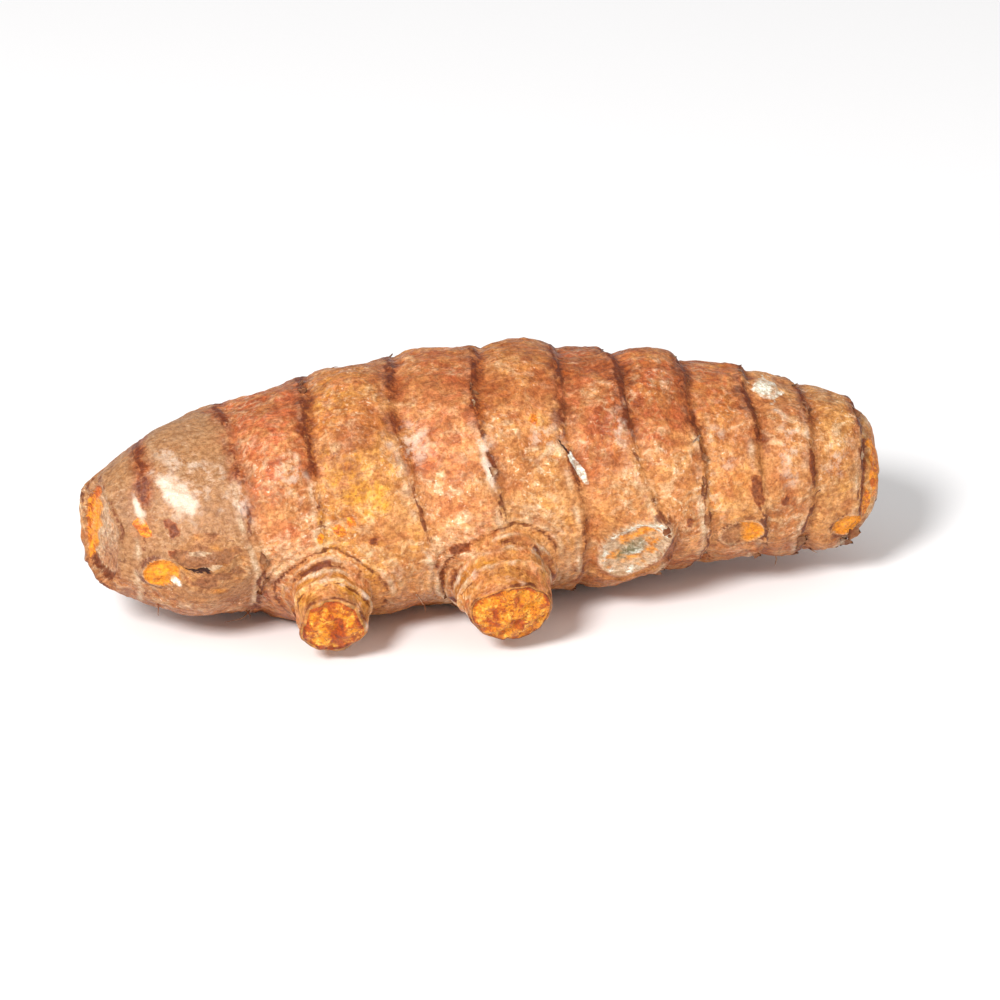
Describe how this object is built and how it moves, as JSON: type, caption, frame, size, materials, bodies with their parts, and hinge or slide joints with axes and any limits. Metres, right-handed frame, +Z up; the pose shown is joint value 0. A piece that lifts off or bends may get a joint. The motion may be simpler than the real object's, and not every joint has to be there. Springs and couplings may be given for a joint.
{
  "type": "turmeric rhizome",
  "caption": "Fresh turmeric root: a stout ringed finger with short snapped-off side shoots and bud scars, lying on a flat spot.",
  "frame": {"origin": "middle of the bounding box in X and Y, on the surface the root lies on", "axes": "+X along the root towards its growing tip, +Z up; the snapped-off side shoots point to -Y and slightly down"},
  "size_m": [0.0764, 0.0316, 0.0242],
  "materials": {
    "skin": "matt corky skin, tan with a red-brown blush"
  },
  "bodies": {
    "root": {"turmeric_rhizome": "skin"}
  },
  "joints": []
}
